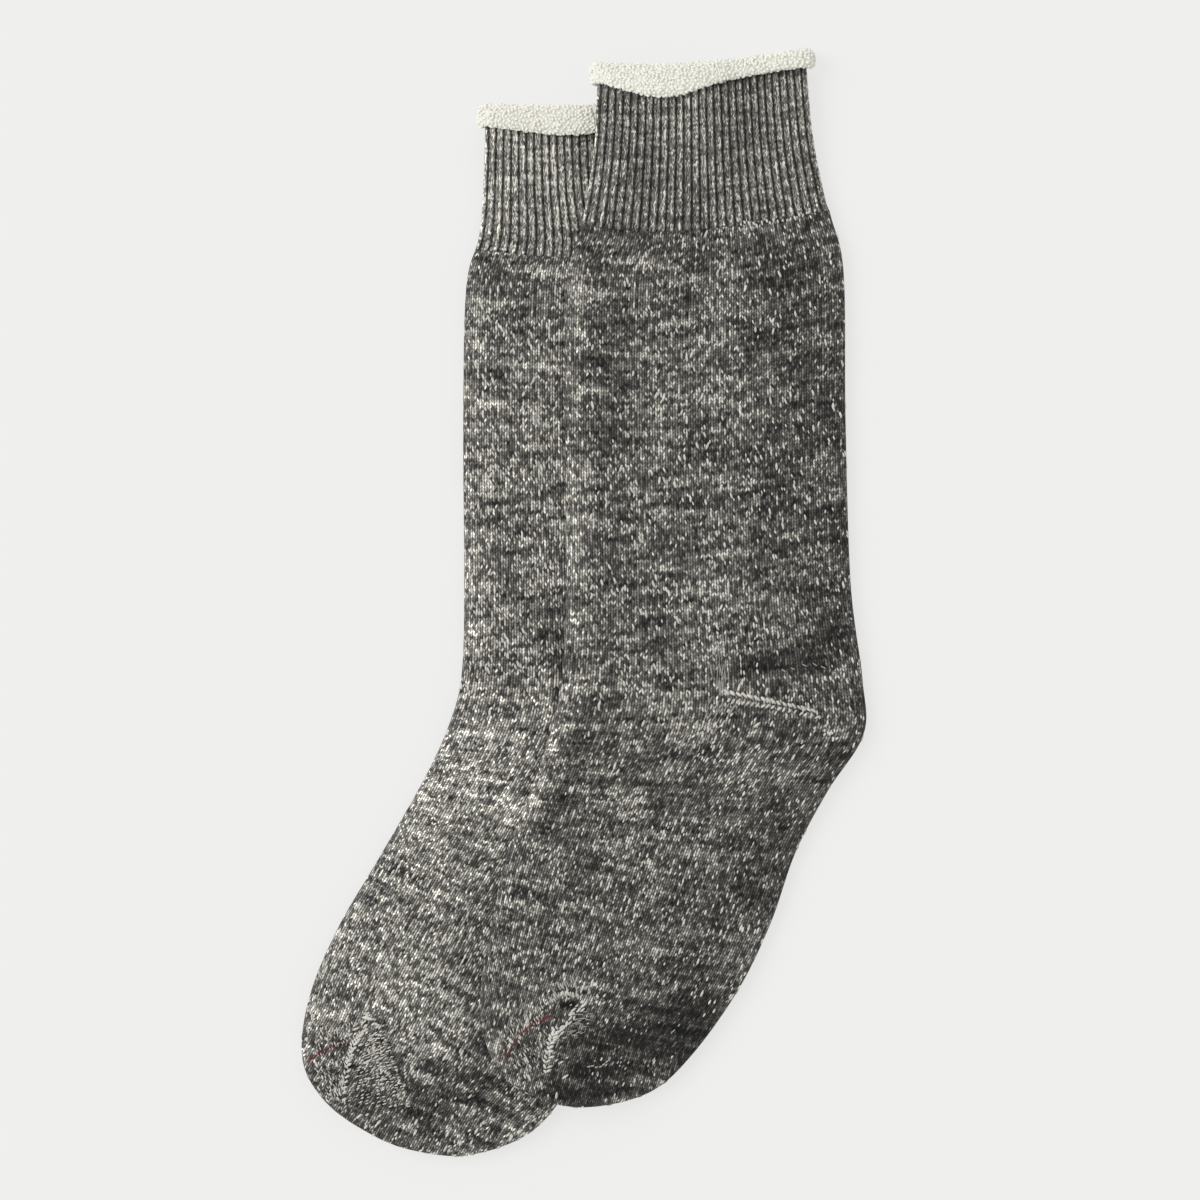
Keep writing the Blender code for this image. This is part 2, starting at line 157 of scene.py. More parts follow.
# Painted light and shade, with some of the yarn's own tone: place, x0, y0, x1, y1, reach and light
# in stops
UPPER_LIGHT_AND_SHADE = (
    ("leg's right side", 92, 130, 98, -20, 16, -0.5),
    ("leg's left side", -4, 132, -4, -16, 5.5, 0.72),
    ("beside that", 11, 132, 12, -10, 7, -0.25),
    ("foot's left side", -6, -34, -25, -86, 5, 1.3),
    ("left side near the toe", -28, -88, -34, -122, 4.5, 0.6),
    ("beside that", 5, -44, -13, -90, 6, -0.75),
    ("under the roll", 62, 211.4, 90, 213.4, 2.2, -1.3),
    ("under the cuff", 16, 146, 32, 143, 5, -0.55),
    ("calf hollow", 72, 136, 90, 110, 8, -0.4),
    ("above the heel", 66, -24, 96, -19, 6.5, -1.35),
    ("heel pocket", 76, -33, 104, -33, 5, 0.15),
    ("front of the heel", 55, -36, 47, -54, 7, 0.4),
    ("heel", 74, -56, 98, -52, 12, -0.25),
    ("heel's edge", 112, -44, 98, -74, 7, -0.5),
    ("foot's right side", 78, -92, 40, -160, 13, -0.75),
    ("sole of the toe", 4, -180, 42, -174, 15, -2),
    ("tip of the toe", -10, -196, 4, -196, 7, -1.2),
    ("toe ridge", -35, -178, -10, -153, 5, 0.3),
    ("round the dimple", -6, -153, 2, -156, 4, 0.6),
    ("dimple", -8.6, -160.2, -4, -159.8, 1.3, -4),
    ("beside the dimple", -13.6, -163, -10, -162.6, 1.6, -1.1),
    ("middle of the foot", 8, -70, 12, -100, 18, -0.15),
)
LOWER_LIGHT_AND_SHADE = (
    ("under the roll", -27, 189.4, 2, 187.4, 1.8, -1.2),
    ("foot", -60, -70, -88, -150, 34, 0.58),
    ("ankle", -44, 0, -46, -50, 14, 0.3),
    ("beside the upper foot", -30, -60, -46, -96, 11, 0.45),
    ("against the upper foot", -14, -34, -30, -88, 6, 0.7),
    ("leg's left side", -44, 120, -44, -10, 8, 0.25),
    ("toe's right side", -62, -200, -36, -186, 13, -0.75),
    ("fold down the toe", -75, -158, -50, -186, 1.6, 0.45),
    ("beside that fold", -71, -156, -46, -184, 2.6, -0.35),
    ("toe", -96, -206, -70, -208, 14, -0.55),
    ("toe gore", -92, -180, -88, -198, 11, -0.8),
    ("beside the toe gore", -80, -168, -76, -186, 3, -0.6),
)

# Where stitches don't follow the wales: place, x0, y0, x1, y1, reach, degrees from the X axis
UPPER_TURNS = (
    ("in front of the toe gore", -25, -176, -18, -186, 7, 114),
    ("behind the toe gore", -2, -166, -6, -184, 6, 22),
    ("under the heel gore", 62, -48, 84, -58, 9, 52),
)
LOWER_TURNS = (
    ("in front of the toe gore", -103, -176, -103, -196, 7, 112),
    ("behind the toe gore", -86, -172, -85, -196, 9, 24),
)

# Rows of stitches in each yarn: place, x0, y0, x1, y1, x2, y2, spread, count, degrees, how the
# degrees change over the row, length and width
UPPER_STROKES = {"fleck": (
    ("heel gore, upper row", 56, -35, 75.6, -39, 92.7, -43.1, 0.1, 17, -42, 8, 1.65, 0.7),
    ("heel gore, lower row", 56.6, -38.4, 74.4, -41.1, 94.3, -45.6, 0.15, 18, 44, -30, 1.35, 0.55),
    ("heel gore's end", 93, -48, 99, -51, 101, -57, 3, 12, 60, 0, 0.85, 0.58),
    ("heel's front, bright", 45, -53, 51, -48, 60, -43, 2.2, 12, 62, -20, 1.2, 0.44),
    ("light wale behind", 62.4, -20, 62.6, -26, 63.2, -32, 0.2, 4, 93, 4, 1.5, 0.34),
    ("toe gore's upper end", 0.6, -158.8, -3.6, -163, -8.6, -168.6, 0.9, 15, 46, 24, 1.35, 0.46),
    ("toe gore, behind", -8.6, -168, -12.4, -175, -14.2, -187.2, 0.3, 13, 22, -14, 1.45, 0.6),
    ("toe gore, in front", -10.6, -168.2, -14.2, -175, -15.8, -187.2, 0.3, 13, 120, 10, 1.25, 0.54),
    ("above the dimple", -13.4, -158, -7.6, -155.4, -0.8, -156.8, 0.3, 14, 108, -60, 1.6, 0.32),
    ("right of the dimple", 2, -151, 6, -154, 8, -159, 1.4, 12, 60, -6, 1, 0.4),
    ("course under the cuff", 60, 151.4, 77, 152.4, 93, 157, 0.6, 20, 100, -20, 1.1, 0.5),
    ("stray ends on the cuff", 83, 197, 84.6, 194, 86, 191, 0.5, 4, 118, 10, 1.1, 0.34),
), "strand": (
    ("front of the heel", 43, -58, 51, -45, 60, -41, 3.4, 30, 62, -10, 2.4, 0.24),
    ("light wales", 53.6, -14, 53.8, -26, 54.4, -34, 1.6, 22, 91, 0, 3.2, 0.22),
    ("edge of the heel pocket", 77, -27, 92, -25, 106, -30, 0.2, 7, -30, -30, 1.3, 0.26),
    ("behind the toe gore", 2, -163, -2, -168, -7.6, -173, 1.3, 26, 12, 20, 1.5, 0.22),
    ("fan above the dimple", -12, -154.4, -4, -151.8, 5, -155.8, 1.5, 26, 104, -60, 1.5, 0.36),
    ("stray end at the sole", 1, -184.4, 8, -183.8, 13, -176.6, 0.3, 9, 30, 60, 0.9, 0.34),
    # Cream flecks on the toe's sole, drawn in the grey yarn as painted shade
    ("flecks on the toe's sole", 4, -166, 20, -168, 38, -164, 4, 24, 60, 0, 0.85, 0.3),
    ("flecks lower on the sole", 2, -184, 16, -186, 28, -182, 3.4, 16, 56, 0, 0.9, 0.34),
), "thread": (
    ("linking thread", -13.6, -164.2, -23, -169.6, -34, -182.6, 0.25, 21, 58, 10, 0.95, 0.46),
)}
LOWER_STROKES = {"fleck": (
    ("toe gore, behind", -86.6, -168.6, -92.6, -179, -96.2, -199, 0.25, 19, 30, -14, 1.35, 0.56),
    ("toe gore's upper end", -91, -169.6, -86, -166, -80, -169.6, 0.5, 14, 40, -40, 1.2, 0.36),
    ("toe gore, in front", -89.6, -171, -94.4, -181, -97.8, -199, 0.25, 18, 118, 6, 1.15, 0.5),
), "thread": (
    ("linking thread", -95.6, -175.8, -104, -178.6, -110.4, -183.4, 0.25, 17, 34, 14, 0.9, 0.42),
)}

# Stitches in rows that fan out from one line to another: place, both lines' ends, rows, pitch,
# first and last degrees, length, width, the share that is kept and the cream share of that
UPPER_FIELDS = (
    ("above the thread", ((-12.6, -161.6), (-33, -178.4)), ((-13, -156.6), (-34.6, -172.4)),
     4, 1.3, 104, 112, 0.95, 0.27, 0.75, 0.5),
    ("below the thread", ((-14.8, -168.4), (-17.4, -186.6)), ((-30, -180.4), (-25.6, -186.4)),
     8, 1.4, 114, 122, 0.85, 0.27, 0.75, 0.55),
)
LOWER_FIELDS = (
    ("behind the toe gore", ((-85.4, -171.5), (-94, -199.6)), ((-80.2, -170.8), (-70, -202)),
     11, 1.35, 30, 16, 0.95, 0.3, 0.8, 0.78),
    ("in front of the gore", ((-93.6, -177), (-98.8, -199)), ((-107.4, -185.4), (-101.4, -198)),
     7, 1.35, 110, 122, 0.8, 0.28, 0.75, 0.6),
    ("above the thread", ((-92, -173.4), (-108.4, -181.4)), ((-89.6, -166.4), (-107.6, -173.4)),
     5, 1.3, 112, 100, 0.8, 0.27, 0.75, 0.6),
)


def smooth(points, at):
    """The points of a smooth curve through the given ones, at fractional places in their list."""
    points = np.asarray(points, float)
    padded = np.vstack([2 * points[0] - points[1], points, 2 * points[-1] - points[-2]])
    at = np.clip(np.asarray(at, float), 0, len(points) - 1)
    first = np.minimum(at.astype(int), len(points) - 2)
    t = (at - first)[..., None]
    a, b, c, d = (padded[first + step] for step in range(4))
    return b + t * ((c - a) + t * ((2 * a - 5 * b + 4 * c - d) + t * (3 * (b - c) + d - a))) / 2


def rounded(distance):
    """The share of its height that cloth has at a distance from where it folds over."""
    near = np.clip(np.asarray(distance) / EDGE_ROUND, 0, 1)
    return np.sqrt(1 - (1 - near) ** 2)


def panel_section(width, thick):
    """A flat tube's section as dense points (across, up), from the heel side over the top."""
    turn = np.linspace(0, 2 * math.pi, DENSE, endpoint=False)
    across = np.cos(turn) * width / 2
    half = thick / 2 * rounded((width / 2 - abs(across)) * max(1, 2 * EDGE_ROUND / width))
    return np.stack([across, thick / 2 + np.where(turn <= math.pi, half, -half)], axis=1)


def spaced(loop, shares):
    """Points of a closed loop at shares of its length."""
    ring = np.vstack([loop, loop[:1]])
    along = np.concatenate([[0], np.cumsum(np.linalg.norm(np.diff(ring, axis=0), axis=1))])
    return np.stack([np.interp(shares * along[-1], along, ring[:, k]) for k in range(2)], axis=1)


def outward(loop):
    """The outward direction at each point of a closed loop."""
    step = np.roll(loop, -1, axis=0) - np.roll(loop, 1, axis=0)
    return unit(np.stack([step[:, 1], -step[:, 0]], axis=1))


def inside_grid(grid, row, column):
    """Values between the points of a grid, at fractional places in it."""
    i, j = row.astype(int), column.astype(int)
    s, t = row - i, column - j
    if grid.ndim == 3:
        s, t = s[:, None], t[:, None]
    near = (1 - t) * grid[i, j] + t * grid[i, j + 1]
    far = (1 - t) * grid[i + 1, j] + t * grid[i + 1, j + 1]
    return (1 - s) * near + s * far


def nearness(line, reach, x, y):
    """1 on the line x0, y0, x1, y1 and on, and less away from it, at points of the plan."""
    path = np.reshape(line, (-1, 2))
    away = np.full(np.shape(x), 1e9)
    for start, end in zip(path, path[1:]):
        run = end - start
        t = np.clip(((x - start[0]) * run[0] + (y - start[1]) * run[1]) / (run @ run), 0, 1)
        away = np.minimum(away, np.hypot(x - start[0] - t * run[0], y - start[1] - t * run[1]))
    return np.exp(-((away / reach) ** 2))


def shade_of(light_and_shade, points, base, under):
    """How light the knit is drawn at points, against its mean: mostly painted light and shade, with
    some of the yarn's own tone.
    """
    x, y = points[..., 0], points[..., 1]
    stops = sum(light * nearness(line, reach, x, y) for place, *line, reach, light in light_and_shade)
    return base * 2 ** (stops * np.where(under, 0.4, 1.0))


def uneven(x, y, seed):
    """A soft, irregular height for cloth that lies loosely, about 1 at most."""
    rng = np.random.default_rng(seed)
    total = np.zeros(np.shape(x))
    for size in (52.0, 31.0, 19.0, 13.0):
        for turn in range(3):
            angle = rng.uniform(0, math.pi)
            phase = rng.uniform(0, 2 * math.pi, 2)
            run = x * math.cos(angle) + y * math.sin(angle)
            side = y * math.cos(angle) - x * math.sin(angle)
            wave = 2 * math.pi * run / size + phase[0] + np.sin(side / size + phase[1])
            total += size / 115 / 3 * np.sin(wave)
    return total


def roll_section(hang):
    """The turned-over edge as a loop (out from the cuff, beyond its end), from inside the mouth."""
    half = RIB_WALL / 2
    middle = (ROLL_STANDS - half) / 2
    outer_radius = (ROLL_STANDS + half) / 2
    inner_radius = outer_radius - ROLL_WALL
    shoulder = ROLL_ABOVE - outer_radius
    bulge = 0.06 * hang

    def arc(radius, turns):
        angles = [math.radians(degrees) for degrees in turns]
        return [(middle + radius * math.cos(a), shoulder + radius * math.sin(a)) for a in angles]

    def side(across, shares):
        swells = [bulge * math.sin(math.pi * min(1, share / 0.9)) for share in shares]
        return [(across + swell, -hang * share) for swell, share in zip(swells, shares)]

    loop = [(-half, SEAM_GAP)] + arc(outer_radius, range(180, -1, -15))
    loop += side(ROLL_STANDS, (0.15, 0.3, 0.45, 0.6, 0.75))
    for degrees in (30, 60, 90, 120, 150, 180):
        a = math.radians(degrees)
        loop.append((ROLL_STANDS - ROLL_WALL / 2 * (1 - math.cos(a)), 1.0 - hang - math.sin(a)))
    loop += side(ROLL_STANDS - ROLL_WALL, (0.75, 0.45, 0.15))
    return np.array(loop + arc(inner_radius, range(0, 181, 45)) + [(half, SEAM_GAP)])


@dataclass
class Sock:
    """The lay of one sock, as in its solids.

    base is how light its knit is drawn all over, rib_more is how far its ribs run on below the
    solid's, and bare is the share of the way round, beside the instep, that has few flecks.
    """

    rows: np.ndarray
    roll: Roll
    creases: tuple
    light_and_shade: tuple
    turns: tuple
    ground: object
    base: float
    rib_more: float
    bare: float
    seed: int

    def __post_init__(self):
        self.tip = len(self.rows) - 1
        self.row_grid = np.linspace(0, self.tip, 40 * self.tip + 1)
        instep, sole = self.folds(self.row_grid)
        steps = np.linalg.norm(np.diff((instep + sole) / 2, axis=0), axis=1)
        self.lengths = np.concatenate([[0], np.cumsum(steps)])

    def folds(self, at):
        """The instep fold and the sole fold at a row, on one outline that runs round the tip."""
        outline = np.vstack([self.rows[:, :2], self.rows[-2::-1, 2:4]])
        return smooth(outline, at), smooth(outline, 2 * self.tip - at)

    def directions(self, at):
        """The directions across the sock at a row, and straight on towards the toe."""
        instep, sole = self.folds(at)
        across = (sole - instep) / np.linalg.norm(sole - instep)
        return across, np.array([across[1], -across[0]])

    def reach(self, at):
        """The distance along the sock to a row."""
        return np.interp(at, self.row_grid, self.lengths)

    def course(self, at):
        """The course of the knit at a row, counted from where the solid's ribs stop."""
        return (self.reach(at) - self.reach(RIB_END)) / COURSE

    def knit(self, shares, rows):
        """Wale and course at shares of the way round, the first again at the end, and rows."""
        return crossed(np.append(shares, 1) * WALES, self.course(rows))

    def beyond(self, at, distance):
        """The row that lies a distance further along the sock."""
        return float(np.interp(self.reach(at) + distance, self.lengths, self.row_grid))

    def rows_between(self, start, end, count):
        """Rows at even distances along the sock."""
        ends = self.reach([start, end])
        return np.interp(np.linspace(*ends, count), self.lengths, self.row_grid)

    def lay(self, at, section, lift, cuffward=0.0):
        """Section points (across, up) at a row as x, y, z, over what the sock lies on."""
        instep, sole = self.folds(at)
        width = max(float(np.linalg.norm(sole - instep)), 0.01)
        direction = (sole - instep) / width
        sag = smooth(self.rows[:, 4:5], at)[0]
        share = np.clip(2 * section[:, 0] / width, -1, 1)
        bow = sag * (1 - share**2) * (1 - 0.45 * share) - cuffward
        toe_ward = np.array([direction[1], -direction[0]])
        plan = (instep + sole) / 2 + section[:, :1] * direction + bow[:, None] * toe_ward
        down = np.clip((at - FALL_START) / (FALL_END - FALL_START), 0, 1)
        rise = MOUTH_RISE * (1 - down) ** 2 * (1 + 2 * down)
        up = np.maximum(section[:, 1] + lift + rise, 0) + self.ground(plan[:, 0], plan[:, 1])
        return np.column_stack([plan, up])

    def size(self, at):
        """The width and thickness of the flat sock at a row."""
        instep, sole = self.folds(at)
        thick = smooth(self.rows[:, 5:6], at)[0]
        return float(np.linalg.norm(sole - instep)), float(thick)

    def leg_ring(self, at, inset, shares):
        """One ring of the plain tube, moved in from its outside by inset."""
        width, full = self.size(at)
        to_tip = self.lengths[-1] - self.reach(at)
        thick = full * float(rounded(to_tip - inset + 0.3)) - 2 * inset
        if inset:
            thick = max(thick, 0.5)
        section = spaced(panel_section(max(width - 2 * inset, 0.8), thick), shares)
        ring = self.lay(at, section, (full - thick) / 2)
        x, y = ring[:, 0], ring[:, 1]
        pressed = sum(deep * nearness(line, far, x, y) for place, *line, deep, far in self.creases)
        pressed = np.minimum(pressed, full - 2 * LEG_WALL - 0.3) - 0.35 * uneven(x, y, self.seed)
        ring[:, 2] -= pressed * np.clip(2 * section[:, 1] / thick - 1, 0, 1)
        return ring

    def rib_ring(self, at, inset, shares):
        """One ring of the cuff: ribs on the outside, plain on the inside."""
        width, thick = self.size(at)
        margin = RIB_RELIEF + inset
        section = spaced(panel_section(width - 2 * margin, thick - 2 * margin), shares)
        if inset == 0:
            crest = (0.5 - 0.5 * np.cos(2 * math.pi * RIB_COUNT * shares)) ** 0.7
            left = self.reach(RIB_END) + self.rib_more - self.reach(at)
            fade = float(np.clip(1 - left / RIB_FADE, 0, 1)) ** 2
            stands = RIB_RELIEF * (crest + (1 - crest) * fade)
            section = section + outward(section) * stands[:, None]
        return self.lay(at, section, margin)

    def roll_rings(self, count):
        """The sections of the rolled edge, one after the other round the mouth."""
        width, thick = self.size(0)
        margin = RIB_RELIEF + RIB_WALL / 2
        dense = panel_section(width - 2 * margin, thick - 2 * margin)
        step = DENSE // count
        rings = []
        for point, out in zip(dense[::step], outward(dense)[::step]):
            off_widest = (2 * point[0] / width - self.roll.widest) / self.roll.swell
            hang = self.roll.least + (self.roll.most - self.roll.least) * math.exp(-(off_widest**2))
            loop = roll_section(hang)
            rings.append(self.lay(0, point + loop[:, :1] * out, margin, loop[:, 1]))
        return np.array(rings)


def disc(reach):
    """The cell offsets within a radius."""
    span = range(-reach, reach + 1)
    return [(i, j) for i in span for j in span if i * i + j * j <= reach * reach]


def outside(sock, columns, tip, count):
    """Rings of points all over the outside of a sock's leg, foot and cuff."""
    shares = np.linspace(0, 1, columns, endpoint=False)
    rings = [sock.leg_ring(at, 0, shares) for at in np.linspace(RIB_END, tip, count)]
    return rings + [sock.rib_ring(at, 0, shares) for at in np.linspace(0, RIB_END, 60)]


def lie_over(sock):
    """The height of cloth that lies over a sock, as a function of the plan."""
    rings = outside(sock, DENSE, sock.tip, 360)
    points = np.vstack(rings + list(sock.roll_rings(DENSE // 2)))
    margin = (MAP_SPREAD + MAP_SOFT + 2) * MAP_CELL
    low = points[:, :2].min(axis=0) - margin
    cells = ((points[:, :2] - low) / MAP_CELL).round().astype(int)
    grid = np.zeros(cells.max(axis=0) + MAP_SPREAD + MAP_SOFT + 3)
    np.maximum.at(grid, (cells[:, 0], cells[:, 1]), points[:, 2])
    spread = np.max([np.roll(grid, shift, axis=(0, 1)) for shift in disc(MAP_SPREAD)], axis=0)
    soft = np.mean([np.roll(spread, shift, axis=(0, 1)) for shift in disc(MAP_SOFT)], axis=0)

    def height(x, y):
        across = np.clip((x - low[0]) / MAP_CELL, 0, soft.shape[0] - 1.001)
        along = np.clip((y - low[1]) / MAP_CELL, 0, soft.shape[1] - 1.001)
        level = inside_grid(soft, across, along)
        return level + LAY_GAP * np.clip(level, 0, 1)

    return height


def flat_ground(x, y):
    """The surface that the pair lies on."""
    return np.zeros(np.shape(x))


# Meshes


def placed(name, data):
    """A new object in the scene."""
    obj = bpy.data.objects.new(name, data)
    bpy.context.scene.collection.objects.link(obj)
    return obj


def solid(name, points, faces, layouts, material):
    """A smooth object, in metres, with each of its texture layouts, a place for every corner."""
    mesh = bpy.data.meshes.new(name)
    mesh.from_pydata((points * MM).tolist(), [], faces)
    for layer, places in layouts:
        uv = mesh.uv_layers.new(name=layer)
        uv.data.foreach_set("uv", places.astype(np.float32).ravel())
    mesh.shade_smooth()
    mesh.materials.append(material)
    return placed(name, mesh)


class Cloth:
    """Gathers the grids of one piece and makes its mesh."""

    def __init__(self):
        self.points, self.shades, self.faces, self.maps = [], [], [], []

    def add_points(self, points, shades=None):
        """Adds an array of points and gives their indices in the same shape."""
        shape = points.shape[:-1]
        first = sum(len(part) for part in self.points)
        self.points.append(points.reshape(-1, 3))
        self.shades.append(np.ones(shape).ravel() if shades is None else shades.ravel())
        return first + np.arange(math.prod(shape)).reshape(shape)

    def add_grid(self, ids, maps, flip=False):
        """Adds quads between neighbours of an index grid; maps has both texture layouts."""
        low, high = slice(None, -1), slice(1, None)
        corners = [(low, low), (low, high), (high, high), (high, low)][:: -1 if flip else 1]
        self.faces += np.stack([ids[c] for c in corners], axis=-1).reshape(-1, 4).tolist()
        self.maps.append(np.stack([maps[c] for c in corners], axis=-2).reshape(-1, 4))

    def add_fan(self, ring, tip, maps, tip_map, flip=False):
        """Adds the triangles from a closed ring of indices, its first repeated, to a tip."""
        order = slice(None, None, -1 if flip else 1)
        for i in range(len(ring) - 1):
            self.faces.append([ring[i], ring[i + 1], tip][order])
            self.maps.append(np.array([maps[i], maps[i + 1], tip_map])[order])

    def make(self, name, material):
        """The finished object, with its shades."""
        maps = np.vstack(self.maps)
        layouts = (("OFBake", maps[:, 2:]), ("Knit", maps[:, :2]))
        obj = solid(name, np.vstack(self.points), self.faces, layouts, material)
        shade = obj.data.attributes.new("Shade", "FLOAT", "POINT")
        shade.data.foreach_set("value", np.concatenate(self.shades).astype(np.float32))
        return obj


def closed(array):
    """The array with its first column repeated at the end."""
    return np.concatenate([array, array[:, :1]], axis=1)


def crossed(columns, rows):
    """Every pair of a column's value and a row's, as a grid of places."""
    return np.stack(np.broadcast_arrays(columns[None], rows[:, None]), axis=-1)


def tube(name, outer, inner, knit, in_knit, shades, material, tips=None):
    """A double-walled tube from its outer and inner rings and the knit's layout on both."""
    cloth = Cloth()
    out_ids = closed(cloth.add_points(outer, shades))
    in_ids = closed(cloth.add_points(inner))

    def maps(knit, low, high):
        rows, columns = knit.shape[:2]
        strip = crossed(np.linspace(0.01, 0.99, columns), np.linspace(low, high, rows))
        return np.concatenate([knit, strip], axis=-1)

    cloth.add_grid(out_ids, maps(knit, 0.01, 0.8))
    cloth.add_grid(in_ids, maps(in_knit, 0.83, 0.93), flip=True)
    cloth.add_grid(np.stack([out_ids[0], in_ids[0]]), maps(knit[:2], 0.94, 0.95), flip=True)
    if tips is None:
        cloth.add_grid(np.stack([out_ids[-1], in_ids[-1]]), maps(knit[-2:], 0.96, 0.97))
    else:
        ends = cloth.add_points(np.array(tips), np.full(2, shades[-1].mean()))
        top = maps(knit[-1:], 0.81, 0.82)[0]
        cloth.add_fan(out_ids[-1], ends[0], top, (*knit[-1].mean(axis=0), 0.5, 0.82))
        top = maps(in_knit[-1:], 0.96, 0.97)[0]
        cloth.add_fan(in_ids[-1], ends[1], top, (*in_knit[-1, 0], 0.5, 0.98), flip=True)
    return cloth.make(name, material)


def knit_layout(sock, rings, rows, shares):
    """Wale and course of every point; from the toe's start on they run straight on."""
    knit = sock.knit(shares, rows)
    start = int(np.searchsorted(rows, TOE_ROW))
    wales, course = knit[0, :, 0], knit[start, 0, 1]
    across, toe_ward = sock.directions(rows[start])
    instep, sole = sock.folds(rows[start])
    plan = closed(rings)[start:, :, :2] - (sole + instep) / 2
    side, ahead = plan @ across, plan @ toe_ward
    top = shares < 0.5
    panels = (
        (np.flatnonzero(top)[::-1], np.flatnonzero(np.append(top, False))),
        (np.flatnonzero(~top), np.flatnonzero(np.append(~top, True))),
    )
    for order, columns in panels:
        here, base = side[:, columns], side[0, order]
        on = ahead[:, columns] - np.interp(here, base, ahead[0, order])
        knit[start:, columns, 0] = np.interp(here, base, wales[order])
        knit[start:, columns, 1] = course + on / COURSE
    return knit


class Surface:
    """The outside of a tube, to set stitches on."""

    def __init__(self, sock, rings, rows, shares):
        self.sock = sock
        self.rings = closed(rings)
        self.columns = np.append(shares, 1)
        self.courses = sock.course(rows)

    def at(self, wale, course):
        """Positions, directions out, along the wale and across it, and the knit's area there."""
        column = np.interp((wale / WALES) % 1, self.columns, np.arange(len(self.columns)))
        row = np.interp(course, self.courses, np.arange(len(self.courses)))

        def point(r, c):
            r = np.clip(r, 0, len(self.courses) - 1.001)
            return inside_grid(self.rings, r, c % (len(self.columns) - 1))

        along = point(row + 0.7, column) - point(row - 0.7, column)
        across = point(row, column + 0.7) - point(row, column - 0.7)
        out = unit(np.cross(across, along))
        place = point(row, column)
        area = np.linalg.norm(np.cross(across, along), axis=1)
        along = unit(along)
        toe_ward = np.append(self.sock.directions(TOE_ROW)[1], 0.0)
        share = np.clip((course - self.sock.course(TOE_ROW)) / 8, 0, 1)[:, None]
        along = unit(along * (1 - share) + toe_ward * share)
        for name, *line, reach, degrees in self.sock.turns:
            angle = math.radians(degrees)
            wanted = np.array([math.cos(angle), math.sin(angle), 0])
            wanted = np.where((along @ wanted < 0)[:, None], -wanted, wanted)
            share = np.clip(1.6 * nearness(line, reach, place[:, 0], place[:, 1]), 0, 1)
            share = (share * (out[:, 2] > 0))[:, None]
            along = unit(along * (1 - share) + wanted * share)
        along = unit(along - out * (along * out).sum(axis=1)[:, None])
        return place, out, along, np.cross(out, along), area

    def on_top(self, plan):
        """Positions on the top panel, and directions out, over points of the plan."""
        half = self.rings[:, : int(np.searchsorted(self.columns, 0.5)) + 1]
        low, step = half[:-1, :-1], half[1:, 1:]
        out = unit(np.cross(half[:-1, 1:] - low, half[1:, :-1] - low).reshape(-1, 3))
        middle = ((low + step) / 2).reshape(-1, 3)
        nearest = [int(np.argmin(((middle[:, :2] - p) ** 2).sum(axis=1))) for p in plan]
        slope = ((plan - middle[nearest, :2]) * out[nearest, :2]).sum(axis=1)
        height = middle[nearest, 2] - slope / np.maximum(out[nearest, 2], 0.3)
        return np.column_stack([plan, height]), out[nearest]


def unit(vectors):
    """Vectors of length 1 along the given ones."""
    return vectors / np.maximum(np.linalg.norm(vectors, axis=-1), 1e-9)[..., None]


def beads(name, centres, long, out, sizes, material):
    """Small rounded stitches as one mesh: sizes are half lengths along, across and outwards."""
    bead = bmesh.new()
    bmesh.ops.create_icosphere(bead, subdivisions=1, radius=1.0)
    points = np.array([v.co[:] for v in bead.verts])
    sides = np.array([[v.index for v in f.verts] for f in bead.faces])
    bead.free()
    count = len(centres)
    axes = np.stack([long, np.cross(out, long), out], axis=1) * sizes[:, :, None]
    places = centres[:, None] + np.einsum("pk,nkd->npd", points, axes)
    places[..., 2] = np.maximum(places[..., 2], 0.02)
    faces = (np.arange(count)[:, None, None] * len(points) + sides).reshape(-1, 3)
    cells = math.ceil(math.sqrt(count))
    cell = np.arange(count)
    corner = np.stack([cell % cells, cell // cells], axis=1) / cells
    layout = corner[:, None] + (0.5 + 0.46 * points[None, :, :2]) / cells
    layout = layout.reshape(-1, 2)[faces.ravel()]
    return solid(name, places.reshape(-1, 3), faces.tolist(), (("OFBake", layout),), material)


# Materials


